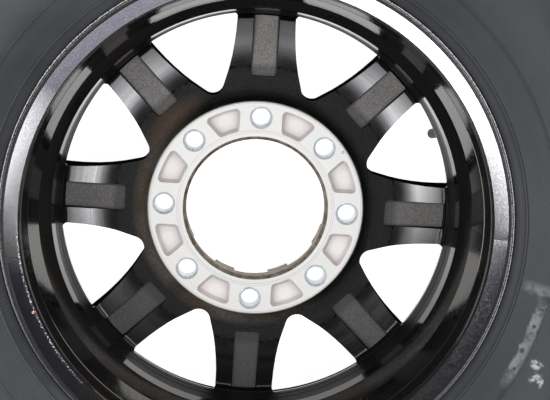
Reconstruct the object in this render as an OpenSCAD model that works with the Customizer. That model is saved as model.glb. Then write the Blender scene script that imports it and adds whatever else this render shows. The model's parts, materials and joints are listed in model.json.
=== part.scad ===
// Sixteen inch cast aluminium wheel with eight spokes, fitted with its tyre and valve.
// The axis is Z. The pad that bolts to the hub lies at Z = 0 and faces up, which is
// the back of the wheel, and one lug hole lies on +X. The wheel lies on its front.

/* [Rim] */
// Diameter across the bead seats
rim_d = 405.6; // [396:0.2:416]
// Width between the flanges
rim_w = 152.4; // [146:0.2:165]
// Height of a flange above its bead seat
flange_h = 17.5; // [16:0.1:19]
// Thickness of a flange along the axis
flange_t = 11.8; // [10:0.1:13]
// Width of a bead seat
seat_w = 20; // [18:0.5:23]
// Height of the hump that keeps the bead in place
hump_h = 1.1; // [0.6:0.1:1.6]
// Depth of the drop well below the bead seats
well_depth = 17.5; // [16:0.1:19]
// Width of the drop well's floor
well_w = 48; // [40:0.5:52]
// Length along the axis of the sloping wall between the well and the front seat
wall_run = 12.2; // [10:0.1:14]
// Thickness of the barrel's wall
barrel_t = 5; // [4.4:0.1:6]
// Depth of the turned line inside the back of the barrel
line_depth = 0.6; // [0.3:0.1:1]

/* [Hub] */
// Diameter of the bore that centres the wheel
bore_d = 125; // [118:0.5:130]
// Diameter of the pad that meets the hub
pad_d = 194.2; // [188:0.2:200]
// Thickness of the hub from the pad to its front face
hub_t = 36; // [32:0.5:40]
// Width of the chamfer at the bore's mouth
bore_chamfer = 3; // [1:0.1:4]
// Depth of the turned step around the bore's mouth
step_depth = 0.4; // [0.2:0.1:1]
// Width of the turned step around the bore's mouth
step_w = 6.5; // [5:0.1:8]
// Length of the bore's full ring
bore_len = 10; // [8:0.5:14]
// Depth of the undercut in front of that ring
undercut = 4; // [2:0.1:5]
// Length of the tabs in the undercut
tab_len = 15; // [10:0.5:18]
// Angle that one tab covers
tab_angle = 17; // [12:0.5:22]

/* [Lug holes] */
// Number of lug holes, which is also the number of spokes
lug_n = 8; // [7:1:8]
// Diameter of the circle through the lug holes
pcd = 165.1; // [162:0.1:168]
// Diameter of a lug hole
lug_d = 15.9; // [14:0.1:17]
// Diameter of the chamfer where a lug hole meets the pad
lug_chamfer_d = 20.4; // [18.5:0.1:21.5]
// Thickness of metal between the pad and the lug seats
seat_t = 16; // [14:0.5:20]
// Diameter of the wide end of a conical lug seat
lug_seat_d = 25; // [22:0.5:27]
// Diameter of the counterbore that clears the lug nut
nut_bore_d = 31; // [29:0.5:33]

/* [Pad pockets] */
// Distance from a pocket's side to the line through the nearest lug hole
pocket_side = 18.8; // [17:0.1:20]
// Distance from the pad's edge to a pocket's outer end
pocket_rim = 5; // [3.5:0.1:7]
// Length of a pocket towards the bore
pocket_len = 20.6; // [17:0.1:22]
// Depth of a pocket
pocket_depth = 4.5; // [2:0.1:6]
// Width of a pocket's sloping side
pocket_slope = 3; // [1:0.1:4]
// Radius of a pocket's corners
pocket_corner = 4; // [2.5:0.1:4.4]

/* [Spokes] */
// Width of a spoke where it meets the rim
spoke_w = 52; // [48:0.5:56]
// Width of a spoke where it meets the hub
spoke_root_w = 72; // [68:0.5:74]
// Distance from the pad's edge to the inner end of a window
window_land = 10.5; // [9:0.1:13]
// Radius of a window's outer corners
window_corner_r = 4.6; // [3:0.1:7]
// Width of the pocket in the back of a spoke, at its floor
groove_w = 22; // [18:0.5:24]
// Width of the sloping side of that pocket
groove_slope = 2.6; // [1.5:0.1:3.5]
// Distance from the pad's edge to the inner end of that pocket
groove_start = 21; // [18:0.5:26]
// Depth of that pocket at its inner end
groove_depth = 2.8; // [1.5:0.1:4]
// How far the front of a spoke reaches ahead of the hub where it meets the rim
spoke_reach = 22; // [16:0.5:26]

/* [Tyre] */
// Height of the tyre's section from the bead seat to the tread
section_h = 188.5; // [180:0.5:196]
// Width of the tyre across its sidewalls
section_w = 232; // [222:0.5:240]
// Width of the tread
tread_w = 178; // [168:1:188]
// Drop of the tread from its middle to its edge
crown_drop = 7; // [4:0.5:10]
// Thickness of a sidewall
sidewall_t = 9; // [7:0.5:12]
// Thickness of the tyre under its grooves
crown_t = 11; // [9:0.5:14]
// Depth of the grooves around the tread
tread_depth = 8.5; // [6:0.1:10]
// Width of the grooves around the tread
rib_groove_w = 9; // [7:0.5:11]
// Number of blocks around a shoulder
block_n = 64; // [56:1:72]
// Width of the slots between the blocks of a shoulder
slot_w = 6; // [4:0.5:7]
// Length of the slots between the blocks of a shoulder
slot_len = 22; // [16:0.5:26]
// Height of the fine ribs on a sidewall
rib_h = 0.9; // [0.4:0.1:1.5]
// Width of a bead where it sits on the rim
bead_w = 18; // [16:0.5:18.5]
// Clearance between the tyre's bead and the rim
bead_gap = 0.12; // [0.08:0.01:0.2]

/* [Valve] */
// Angle of the valve around the axis, from the lug hole on +X
valve_angle = 23.4; // [19:0.1:26]
// Diameter of the hole for the valve
valve_hole_d = 11.5; // [11:0.1:12]
// Diameter of the rubber outside the rim
bulb_d = 15.5; // [14.5:0.1:16.5]
// Length of the rubber outside the rim
bulb_len = 7; // [6:0.1:9]
// Diameter of the valve stem
stem_d = 8.2; // [8:0.05:8.6]
// Diameter of the stem's threaded end
stem_thread_d = 7.7; // [7.5:0.05:7.8]
// Length of the stem outside its rubber
stem_len = 15; // [14:0.5:17]
// Diameter of the bore through the stem
stem_bore_d = 5; // [4.8:0.05:5.1]
// Outer diameter of the cap
cap_d = 9.4; // [9.2:0.1:10]
// Length of the cap
cap_len = 12.5; // [11.5:0.1:14]
// Thickness of the cap's top
cap_top = 2.2; // [1.5:0.1:3]
// Radial clearance between the cap and the stem
cap_gap = 0.15; // [0.1:0.01:0.2]
// Thickness of the seal inside the cap
cap_seal_t = 0.8; // [0.5:0.1:1.2]
// Length of the core's body
core_len = 13; // [11:0.5:15]
// Diameter of the core's body
core_d = 4.4; // [4:0.05:4.5]
// Diameter of the core's pin
pin_d = 1.1; // [0.9:0.05:1.3]

/* [Hidden] */
$fn = 96;
around = 180;

black_paint = [0.03, 0.03, 0.035];
rubber_colour = [0.07, 0.07, 0.08];
brass_colour = [0.78, 0.62, 0.32];
cap_colour = [0.16, 0.16, 0.17];
seal_colour = [0.35, 0.1, 0.08];
steel_colour = [0.7, 0.7, 0.72];

// Radii and heights of the rim, from its seats, flanges and well
seat_r = rim_d / 2;
seat_slope = 5;
seat_in_r = seat_r - seat_w * tan(seat_slope);
flange_r = seat_r + flange_h;
half_w = rim_w / 2;
edge_z = half_w + flange_t;
well_r = seat_r - well_depth;
heel_r = 6.5;
lip_round = 3.2;
hump_w = 8;
hump_start = half_w - seat_w;
hump_end = hump_start - hump_w;
well_front = wall_run - hump_end;
well_back = well_front + well_w;
ramp_len = hump_end - well_back;

// Radii of the barrel's inner surface, which follow the outer ones at the wall's thickness
well_in_r = well_r - 1.95 * barrel_t;
window_edge_z = -15;
window_land_z = window_edge_z - 2;
tool_step = 0.52;
tool_ramp = 0.8;
lower_step_z = window_edge_z + 6.4;
upper_step_z = window_edge_z + 13;
ramp_start_r = well_r - 0.86 * barrel_t;
ramp_end_r = seat_in_r - 2.1 * barrel_t;
line_r = seat_in_r - 0.82 * barrel_t;
lip_start_r = seat_r - 0.38 * barrel_t;
lip_in_r = seat_r + 0.4;
lip_out_r = flange_r - 5.3;
line_z = half_w - 9.7;
ramp_start_z = well_back + ramp_len * 0.304;
ramp_end_z = hump_end - ramp_len * 0.221;

// Radii and heights of the hub, the spokes and the windows between them
pad_r = pad_d / 2;
bore_r = bore_d / 2;
window_in_r = pad_r + window_land;
window_out_r = well_in_r + 1;
root_r = window_in_r - 3.5;
root_curve = 2.4;
tip_gap = 2.4;
straight_len = 11;
hub_front = -hub_t;
spoke_pitch = 360 / lug_n;
web_z = -17;
turned_r = window_in_r + 20.5;
fillet_r = 7.5;
under_r = bore_r + undercut;
tab_back = 0.4;
groove_end = window_out_r - 2;
ring_end_z = -bore_chamfer - bore_len;
spoke_front = hub_front - spoke_reach;
root = 2;

// Round end of a window stands this little proud of its straight sides, so that they cross it
proud = 0.02;

// Sloping wall between the well's floor and the front bead seat, which the valve goes through
wall_angle = atan2(seat_in_r - well_r, well_front + hump_end);
wall_in = [well_r, well_front] - barrel_t * [cos(wall_angle), sin(wall_angle)];
front_turn_r = well_in_r + 4.5;
front_turn_z = wall_in[1] + (wall_in[0] - front_turn_r) / tan(wall_angle);
front_seat_r = seat_in_r - barrel_t;
front_seat_z = wall_in[1] - (front_seat_r - wall_in[0]) / tan(wall_angle);

// Points of an arc about [x, y], from angle a to angle b
function arc(x, y, r, a, b, n = 6) =
    [for (i = [0 : n]) [x + r * cos(a + (b - a) * i / n), y + r * sin(a + (b - a) * i / n)]];

// Points walked the other way
function reversed(points) = [for (i = [len(points) - 1 : -1 : 0]) points[i]];

// Points on the other side of Z = 0
function mirrored(points) = [for (p = points) [p[0], -p[1]]];

// Tyre side of one flange and its seat, from the hump up to the lip
flange_profile = concat(
    [[seat_in_r, hump_end],
     [seat_in_r + hump_h, hump_start - hump_w * 0.6],
     [seat_in_r + hump_h, hump_start - hump_w * 0.3],
     [seat_in_r, hump_start]],
    arc(seat_r + heel_r, half_w - heel_r, heel_r, 180 - seat_slope, 90, 5),
    arc(flange_r - lip_round, half_w + lip_round, lip_round, -90, 0, 4)
);

// Back of the lip, from its outer edge down to the turned line in the barrel
lip_profile = concat(
    arc(flange_r - lip_round * 0.6, edge_z - lip_round * 0.7, lip_round * 0.6, 0, 80, 3),
    [[lip_out_r + 3.4, edge_z - 0.7],
     [lip_out_r + 2.9, edge_z - 1.9],
     [lip_out_r + 0.8, edge_z - 1.8],
     [lip_out_r, edge_z]],
    [[lip_in_r, edge_z - 1.4]],
    arc(lip_in_r + 3.2, edge_z - 5, 4.8, 145, 195, 4),
    [[lip_start_r, edge_z - 8]]
);

// Section of the rim: tyre side from front to back, then the barrel from back to front with
// the two small steps that the turning tool left above the windows
rim_profile = concat(
    reversed(mirrored(flange_profile)),
    [[well_r, well_front], [well_r, well_back],
     [well_r + 2.2, well_back + ramp_len * 0.193],
     [seat_in_r - barrel_t * 1.05, hump_end - ramp_len * 0.193]],
    flange_profile,
    lip_profile,
    [[line_r + 0.3, line_z + 1.6],
     [line_r + 0.3 + line_depth, line_z + 1.2],
     [line_r + line_depth, line_z],
     [line_r, line_z - 0.4],
     [ramp_end_r, ramp_end_z],
     [ramp_start_r, ramp_start_z],
     [well_in_r + tool_step * 4, upper_step_z],
     [well_in_r + tool_step * 3, upper_step_z - tool_ramp],
     [well_in_r + tool_step * 2, lower_step_z],
     [well_in_r + tool_step, lower_step_z - tool_ramp],
     [well_in_r, window_edge_z],
     [well_in_r, window_land_z],
     [front_turn_r, front_turn_z],
     [front_seat_r, front_seat_z],
     [front_seat_r + 1.4, -line_z]],
    arc(seat_r + 3.4, -edge_z + 6, 5.8, 195, 250, 4),
    [[lip_out_r, -edge_z]],
    arc(flange_r - lip_round, -edge_z + lip_round, lip_round, -90, 0, 4)
);

// Back of the hub and spokes, from the bore out to the fillet at the barrel
fillet_x = well_in_r + 0.9 - fillet_r;
dish = 0.3;
web_back = concat(
    [[bore_r, 0], [pad_r - 1, 0], [pad_r, -1]],
    [[pad_r + 2.6, -8.5], [pad_r + 5.4, -12.2], [pad_r + 10.5, -14.4]],
    [[turned_r - 2, web_z], [turned_r, web_z - 1.2]],
    [for (i = [1 : 4]) let (s = i / 4)
        [turned_r + (fillet_x - turned_r) * s, web_z - 1.2 + dish * s * s]],
    [for (a = [15 : 15 : 90])
        [fillet_x + fillet_r * sin(a), web_z - 1.2 + dish + fillet_r * (1 - cos(a))]]
);

// Front of the hub and spokes, from inside the barrel's wall in to the bore
web_front = concat(
    [[well_in_r + root, web_z - 1.2 + dish + fillet_r],
     [well_in_r + root, window_land_z],
     [front_turn_r + root, front_turn_z + root / 2],
     [front_seat_r + root, front_seat_z + root / 2],
     [front_seat_r + root, spoke_front + 3],
     [front_seat_r - 3, spoke_front]],
    [for (i = [1 : 6]) let (s = i / 6)
        [front_seat_r - 3 - (front_seat_r - 5 - pad_r) * s,
         spoke_front + spoke_reach * (1 - pow(1 - s, 1.7))]],
    [[under_r + 1, hub_front], [under_r, hub_front + 1],
     [under_r, ring_end_z - undercut], [bore_r, ring_end_z]]
);

// Outline between two straight sides that lean away from the X axis by an angle, each at a
// distance from the origin, and two arcs about the origin, with rounded corners
module sector_outline(lean, side, in_r, out_r, in_corner, out_corner) {
    inward = [sin(lean), cos(lean)];
    along = [cos(lean), -sin(lean)];
    function centre(r, corner) =
        (side + corner) * inward + sqrt(r * r - pow(side + corner, 2)) * along;
    in_c = centre(in_r + in_corner, in_corner);
    out_c = centre(out_r - out_corner, out_corner);
    half = [in_c * in_r / (in_r + in_corner), in_c, in_c - in_corner * inward,
        out_c - out_corner * inward, out_c, out_c * out_r / (out_r - out_corner) * 1.05];
    difference() {
        intersection() {
            circle(r = out_r, $fn = around);
            polygon(concat(half, reversed(mirrored(half))));
        }
        circle(r = in_r, $fn = around);
    }
    for (hand = [-1, 1]) {
        translate([in_c[0], hand * in_c[1]])
            circle(r = in_corner);
        translate([out_c[0], hand * out_c[1]])
            circle(r = out_corner);
    }
}

// Half the width of a spoke at a distance from the axis: it widens in a curve to the hub
function spoke_half(x) = spoke_w / 2 + (spoke_root_w - spoke_w) / 2
    * pow((window_out_r - x) / (window_out_r - root_r), root_curve);

// Point on a window's side, with the window's middle on the X axis
function window_side(x) =
    let (w = spoke_half(x), p = spoke_pitch / 2)
    [x * cos(p) + w * sin(p), w * cos(p) - x * sin(p)];

// One window seen along the axis: curved sides, a round inner end and small outer corners
module window(out_r) {
    side_start = window_in_r + tip_gap;
    side_step = (window_out_r - straight_len - side_start) / 5;
    sides = [for (i = [0 : 5]) window_side(side_start + side_step * i)];
    lean = atan2(sides[0][1] - sides[1][1], sides[1][0] - sides[0][0]);
    tip_inward = [sin(lean), cos(lean)];
    meet = (sides[0] * tip_inward) / sin(lean);
    tip_r = (window_in_r - meet) / (1 / sin(lean) - 1);
    tip_x = meet + tip_r / sin(lean);
    inward = [sin(spoke_pitch / 2), cos(spoke_pitch / 2)];
    along = [cos(spoke_pitch / 2), -sin(spoke_pitch / 2)];
    corner_side = spoke_w / 2 + window_corner_r;
    corner = corner_side * inward
        + sqrt(pow(out_r - window_corner_r, 2) - corner_side * corner_side) * along;
    half = concat([[tip_x, 0] - tip_r * tip_inward], sides,
        [corner - window_corner_r * inward, corner, corner * 1.1]);
    intersection() {
        circle(r = out_r, $fn = around);
        polygon(concat(half, reversed(mirrored(half))));
    }
    translate([tip_x, 0])
        circle(r = tip_r + proud);
    for (hand = [-1, 1])
        translate([corner[0], hand * corner[1]])
            circle(r = window_corner_r);
}

// All the windows, out to a radius
module windows(out_r) {
    for (k = [0 : lug_n - 1])
        rotate((k + 0.5) * spoke_pitch)
            window(out_r);
}

// Hub and spokes: at the barrel's narrowest place a window ends with round corners, and in
// front of it the spokes run on alone to the flaring wall
module web() {
    reach = front_seat_r + root * 2;
    difference() {
        rotate_extrude($fn = around)
            polygon(concat(web_back, web_front));
        translate([0, 0, window_land_z - 1])
            linear_extrude(edge_z * 2)
                windows(window_out_r);
        translate([0, 0, -edge_z])
            linear_extrude(edge_z + window_land_z)
                windows(reach);
    }
}

// Pocket in the pad, with a rounded outline and sides that slope in to its floor
module pad_pocket() {
    out_r = pad_r - pocket_rim;
    in_r = out_r - pocket_len;
    rise = pocket_depth + 1;
    spread = pocket_slope * rise / pocket_depth;
    intersection() {
        translate([0, 0, -pocket_depth])
            linear_extrude(rise)
                sector_outline(spoke_pitch / 2, pocket_side, in_r, out_r,
                    pocket_corner, pocket_corner);
        rotate_extrude($fn = around)
            polygon([[in_r + pocket_slope, -pocket_depth],
                [out_r - pocket_slope, -pocket_depth],
                [out_r - pocket_slope + spread, 1],
                [in_r + pocket_slope - spread, 1]]);
        sloping_side(-1);
        sloping_side(1);
    }
}

// Half space beside one lug hole's line, bounded by the sloping side of a pad pocket
module sloping_side(hand) {
    floor_y = pocket_side + pocket_slope;
    mouth_y = pocket_side - pocket_slope / pocket_depth;
    rotate(hand * spoke_pitch / 2)
        rotate([90, 0, 90])
            linear_extrude(pad_r * 2)
                polygon([[-hand * floor_y, -pocket_depth],
                    [-hand * pad_r, -pocket_depth],
                    [-hand * pad_r, 1],
                    [-hand * mouth_y, 1]]);
}

// Outline of the pocket in the back of the spoke on +X, with rounded corners
module groove_outline() {
    start = pad_r + groove_start;
    end = groove_end + 0.5;
    half = groove_w / 2 + groove_slope / 2;
    corner = half / 3;
    translate([start + corner, -half])
        square([end - start - corner * 2, half * 2]);
    translate([start, corner - half])
        square([end - start, (half - corner) * 2]);
    for (x = [start + corner, end - corner], hand = [-1, 1])
        translate([x, hand * (half - corner)])
            circle(r = corner);
}

// Pocket in the back of the spoke on +X: its floor falls away towards the rim
module spoke_groove() {
    start = pad_r + groove_start;
    floor_z = web_z - 6;
    rise = 40;
    half = groove_w / 2;
    spread = groove_slope * rise / 16;
    intersection() {
        translate([0, 0, floor_z])
            linear_extrude(rise)
                groove_outline();
        rotate_extrude($fn = around)
            polygon([[start - 1, web_z + 1.2 - groove_depth],
                [groove_end - 2, floor_z],
                [groove_end, floor_z + rise],
                [start - 1, floor_z + rise]]);
        rotate([90, 0, 90])
            linear_extrude(window_out_r)
                polygon([[-half, floor_z], [half, floor_z],
                    [half + spread, floor_z + rise], [-half - spread, floor_z + rise]]);
    }
}

module wheel() {
    color(black_paint)
        difference() {
            union() {
                rotate_extrude($fn = around)
                    polygon(rim_profile);
                web();
                bore_tabs();
            }
            bore_mouth();
            for (k = [0 : lug_n - 1])
                rotate(k * spoke_pitch) {
                    lug_hole();
                    spoke_groove();
                    rotate(spoke_pitch / 2)
                        pad_pocket();
                }
            valve_place()
                cylinder(d = valve_hole_d, h = 30, center = true);
        }
}

// Chamfer and shallow turned step around the mouth of the bore
module bore_mouth() {
    step_r = bore_r + step_w;
    rotate_extrude($fn = around)
        polygon([[bore_r - 1, -bore_chamfer],
            [bore_r, -bore_chamfer],
            [bore_r + bore_chamfer, -step_depth],
            [step_r, -step_depth],
            [step_r + step_depth, 1],
            [bore_r - 1, 1]]);
}

// Tabs in the undercut, which stand a little back from the turned bore
module bore_tabs() {
    tab_in_r = bore_r + tab_back;
    intersection() {
        translate([0, 0, ring_end_z - tab_len])
            difference() {
                cylinder(r = under_r + 2, h = tab_len + 1, $fn = around);
                translate([0, 0, -1])
                    cylinder(r = tab_in_r, h = tab_len + 3, $fn = around);
            }
        for (k = [0 : lug_n - 1])
            rotate((k + 0.5) * spoke_pitch - tab_angle / 2)
                rotate_extrude(angle = tab_angle, $fn = around)
                    translate([bore_r - 1, hub_front])
                        square([undercut + 2, hub_t]);
    }
}

// Lug hole with its chamfer at the pad, conical seat and counterbore
module lug_hole() {
    cone = (lug_seat_d - lug_d) / 2 / tan(30);
    chamfer = (lug_chamfer_d - lug_d) / 2;
    translate([pcd / 2, 0, 0]) {
        translate([0, 0, hub_front - 1])
            cylinder(d = lug_d, h = hub_t + 2);
        translate([0, 0, -chamfer])
            cylinder(d1 = lug_d, d2 = lug_chamfer_d + 2, h = chamfer + 1);
        translate([0, 0, -seat_t - cone])
            cylinder(d1 = lug_seat_d, d2 = lug_d, h = cone);
        translate([0, 0, hub_front - 40])
            cylinder(d = nut_bore_d, h = 40 + hub_t - seat_t - cone);
    }
}

// Tyre, worked out from the rim that it sits on
bead_r = seat_r + bead_gap;
tread_r = seat_r + section_h;
half_section = section_w / 2;
half_tread = tread_w / 2;
shoulder_r = tread_r - crown_drop;
bulge_r = seat_r + section_h * 0.5;
collar_r = flange_r + 5;
bead_in_z = half_w - bead_w;

// Height of the tread's surface at a distance from the middle
function crown(z) = tread_r - crown_drop * pow(abs(z) / half_tread, 2);

// Outside of one sidewall, from the bead heel to the shoulder
side_profile = concat(
    [[bead_r - bead_w * tan(seat_slope), bead_in_z]],
    arc(seat_r + heel_r + bead_gap, half_w - heel_r - bead_gap, heel_r, 180 - seat_slope, 90, 5),
    arc(flange_r - lip_round, half_w + lip_round, lip_round + bead_gap, -90, 0, 4),
    [[flange_r + bead_gap, edge_z - 6],
     [flange_r + 1.4, edge_z - 2.2],
     [collar_r, edge_z + 1.6],
     [collar_r + 3, edge_z + 3.4],
     [collar_r + 4, edge_z + 4.1 + rib_h],
     [collar_r + 5.2, edge_z + 4.6 + rib_h],
     [collar_r + 6, edge_z + 4.8]],
    [for (a = [-60 : 10 : 0])
        [bulge_r + (bulge_r - collar_r - 12) * sin(a) / sin(60),
         half_section - (half_section - edge_z - 8) * pow(sin(a) / sin(60), 2)]],
    [for (a = [12 : 12 : 60])
        [bulge_r + (shoulder_r - 16 - bulge_r) * sin(a) / sin(60),
         half_section - (half_section - half_tread - 9) * pow(sin(a) / sin(60), 2)]],
    [[shoulder_r - 8, half_tread + 5], [shoulder_r - 1.2, half_tread + 1]]
);

// Grooves around the tread, as places across it
groove_places = [-0.56, -0.19, 0.19, 0.56];

// Outside of the tread between its shoulders, from the front to the back
tread_profile = concat(
    [for (i = [0 : 3]) let (m = groove_places[i] * half_tread, w = rib_groove_w / 2)
        each [[crown(m - w), m - w],
            [crown(m) - tread_depth, m - w * 0.55],
            [crown(m) - tread_depth, m + w * 0.55],
            [crown(m + w), m + w]]]
);

// Inside of the tyre, from the back bead over the crown to the front bead
half_lining = concat(
    [[seat_r + 4, bead_in_z - 1],
     [flange_r - 6, half_w - 13],
     [flange_r + 16, edge_z - 2 - sidewall_t]],
    [for (a = [-40 : 20 : 40])
        [bulge_r + (shoulder_r - 30 - bulge_r) * sin(a) / sin(60),
         half_section - sidewall_t - 16 * pow(sin(a) / sin(60), 2)]],
    [[shoulder_r - tread_depth - crown_t - 4, half_tread - 8],
     [crown(half_tread * 0.7) - tread_depth - crown_t, half_tread * 0.7],
     [crown(half_tread * 0.35) - tread_depth - crown_t, half_tread * 0.35]]
);

tyre_profile = concat(
    half_lining,
    reversed(mirrored(half_lining)),
    mirrored(side_profile),
    [[crown(half_tread), -half_tread]],
    tread_profile,
    [[crown(half_tread), half_tread]],
    reversed(side_profile)
);

module tyre() {
    color(rubber_colour)
        difference() {
            rotate_extrude($fn = around)
                polygon(tyre_profile);
            for (k = [0 : block_n - 1])
                rotate(k * 360 / block_n)
                    for (hand = [-1, 1])
                        shoulder_slot(hand);
        }
}

// Slot between two blocks of the front or back shoulder
module shoulder_slot(hand) {
    floor_r = shoulder_r - tread_depth * 0.8;
    translate([floor_r, -slot_w / 2, hand > 0 ? half_tread - slot_len + 6 : -half_tread - 6])
        rotate([hand * 4, 0, 0])
            cube([tread_depth * 3, slot_w, slot_len]);
}

// Stands the valve's parts in their hole: local Z runs out of the rim from the wall's middle
module valve_place() {
    rotate(valve_angle)
        translate([(seat_in_r + well_r) / 2, 0, (well_front - hump_end) / 2])
            rotate([0, -90 - wall_angle, 0])
                translate([0, 0, barrel_t / 2])
                    children();
}

// Places along the valve's own axis
wall_face = barrel_t / 2;
bulb_end = wall_face + bulb_len;
stem_foot = -wall_face - 9;
stem_tip = bulb_end + stem_len;
thread_end = stem_tip + cap_seal_t + cap_top - cap_len - 0.5;
core_top = stem_tip - 2;
core_foot = core_top - core_len;
spring_foot = core_top - 5.5;
collar_z = core_top - 1.5;
pin_r = pin_d / 2;
pin_bore_r = pin_r + 0.25;
spring_bore_r = core_d / 2 - 0.6;
fit = 0.05;

module valve_rubber() {
    hole_r = valve_hole_d / 2 - 0.1;
    bulb_r = bulb_d / 2;
    color(rubber_colour)
        valve_place()
            difference() {
                rotate_extrude()
                    polygon([[0, stem_foot - 0.5], [stem_d / 2 + 1, stem_foot - 0.5],
                        [hole_r + 0.9, stem_foot + 2.5], [bulb_r + 1, -wall_face - 3.1],
                        [bulb_r + 0.6, -wall_face - 0.8], [hole_r, -wall_face - 0.4],
                        [hole_r, wall_face + 0.4], [bulb_r, wall_face + 0.8],
                        [bulb_r - 0.6, wall_face + 2.4], [stem_d / 2 + 1.4, bulb_end],
                        [0, bulb_end]]);
                translate([0, 0, stem_foot - 1])
                    cylinder(r = stem_d / 2 + fit, h = stem_tip - stem_foot + 2);
            }
}

module valve_stem() {
    color(brass_colour)
        valve_place()
            rotate_extrude()
                polygon([[stem_bore_d / 2, stem_foot], [stem_d / 2, stem_foot],
                    [stem_d / 2, thread_end - 0.4], [stem_thread_d / 2, thread_end],
                    [stem_thread_d / 2, stem_tip - 0.6], [stem_thread_d / 2 - 0.6, stem_tip],
                    [stem_bore_d / 2 + 0.3, stem_tip], [stem_bore_d / 2, stem_tip - 0.5]]);
}

// Threaded barrel of the valve core, with a wider bore above for the spring
module core_body() {
    r = core_d / 2;
    color(brass_colour)
        valve_place()
            rotate_extrude()
                polygon([[pin_bore_r, core_foot], [r - 0.8, core_foot], [r - 0.5, core_foot + 3],
                    [r - 0.5, core_top - 6.5], [r, core_top - 6.2], [r, core_top - 0.4],
                    [r - 0.3, core_top], [spring_bore_r, core_top],
                    [spring_bore_r, spring_foot], [pin_bore_r, spring_foot]]);
}

// Sleeve that seals the core against the stem's bore
module core_gasket() {
    in_r = core_d / 2 - 0.5 + fit;
    out_r = stem_bore_d / 2 - fit;
    color(seal_colour)
        valve_place()
            rotate_extrude()
                polygon([[in_r, core_foot + 3.2], [out_r - 0.2, core_foot + 3.2],
                    [out_r, core_foot + 3.8], [out_r, core_foot + 5.6],
                    [out_r - 0.2, core_foot + 6.2], [in_r, core_foot + 6.2]]);
}

// Pin with the collar that its spring lifts and the foot that holds the washer
module core_pin() {
    tip = stem_tip - 0.5;
    pin_collar_r = spring_bore_r - 0.15;
    foot_z = core_foot - 1.7;
    color(brass_colour)
        valve_place()
            rotate_extrude()
                polygon([[0, foot_z], [1.5, foot_z], [1.5, foot_z + 0.35], [pin_r, foot_z + 0.35],
                    [pin_r, collar_z], [pin_collar_r, collar_z], [pin_collar_r, collar_z + 0.6],
                    [pin_r, collar_z + 0.9], [pin_r, tip - 0.2], [pin_r - 0.2, tip], [0, tip]]);
}

// Rubber washer that closes the foot of the core
module core_washer() {
    color(seal_colour)
        valve_place()
            rotate_extrude()
                polygon([[pin_r + fit, core_foot - 1.3], [1.8, core_foot - 1.3],
                    [1.6, core_foot - fit * 2], [pin_r + fit, core_foot - fit * 2]]);
}

// Spring between the core's shoulder and the pin's collar: a wire swept along a helix
spring_turns = 5;
spring_steps = 14;
wire_r = 0.14;
spring_r = (pin_bore_r + spring_bore_r) / 2;
spring_low = spring_foot + wire_r + fit;
spring_high = collar_z - wire_r - fit;

wire_n = 6;
rings = spring_turns * spring_steps;

function spring_ring(i) =
    let (a = 360 * i / spring_steps,
        z = spring_low + (spring_high - spring_low) * i / rings)
    [for (k = [0 : wire_n - 1]) let (b = 360 * k / wire_n, r = spring_r + wire_r * cos(b))
        [r * cos(a), r * sin(a), z + wire_r * sin(b)]];

module core_spring() {
    ends = [
        [for (k = [0 : wire_n - 1]) k],
        [for (k = [wire_n - 1 : -1 : 0]) rings * wire_n + k]];
    sides = [for (i = [0 : rings - 1], k = [0 : wire_n - 1])
        let (next = (k + 1) % wire_n)
        [i * wire_n + k, (i + 1) * wire_n + k, (i + 1) * wire_n + next, i * wire_n + next]];
    color(steel_colour)
        valve_place()
            polyhedron([for (i = [0 : rings]) each spring_ring(i)], concat(ends, sides),
                convexity = 10);
}

// Cap over the stem's thread, with finger grooves along its side
cap_seat = stem_tip + 0.1;
cap_end = cap_seat + cap_seal_t + fit + cap_top;

module valve_cap() {
    mouth = cap_end - cap_len;
    r = cap_d / 2;
    grooves = 16;
    groove_r = 0.45;
    color(cap_colour)
        valve_place()
            difference() {
                rotate_extrude()
                    polygon([[stem_thread_d / 2 + cap_gap, mouth + 0.5],
                        [stem_thread_d / 2 + cap_gap + 0.3, mouth], [r - 0.2, mouth],
                        [r, mouth + 0.4], [r - 0.15, cap_end - 1.4], [r - 0.6, cap_end - 0.5],
                        [r - 1.5, cap_end], [0, cap_end], [0, cap_end - cap_top],
                        [stem_thread_d / 2 + cap_gap, cap_end - cap_top]]);
                for (k = [0 : grooves - 1])
                    rotate(k * 360 / grooves)
                        translate([r + groove_r / 2, 0, mouth + 2])
                            cylinder(r = groove_r, h = cap_len, $fn = 24);
            }
}

module cap_seal() {
    color(seal_colour)
        valve_place()
            translate([0, 0, cap_seat])
                cylinder(r = stem_thread_d / 2 - 0.1, h = cap_seal_t);
}

wheel();
tyre();
valve_rubber();
valve_stem();
core_body();
core_gasket();
core_pin();
core_washer();
core_spring();
valve_cap();
cap_seal();
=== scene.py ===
# %% [markdown]
# # A cast wheel with its tyre and valve
# The construction model comes in as a fixed frame, in metres. The wheel lies on its
# front, so its back faces up: +Z runs out of the pad that bolts to the hub, and one lug
# hole lies on +X. Everything below dresses that frame or adds to it. A piece drawn apart
# from the frame could look right and still miss the holes and seats that it has to fit.

# %% Load the frame
import json
import math

import bpy
from mathutils import Matrix, Vector


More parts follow.
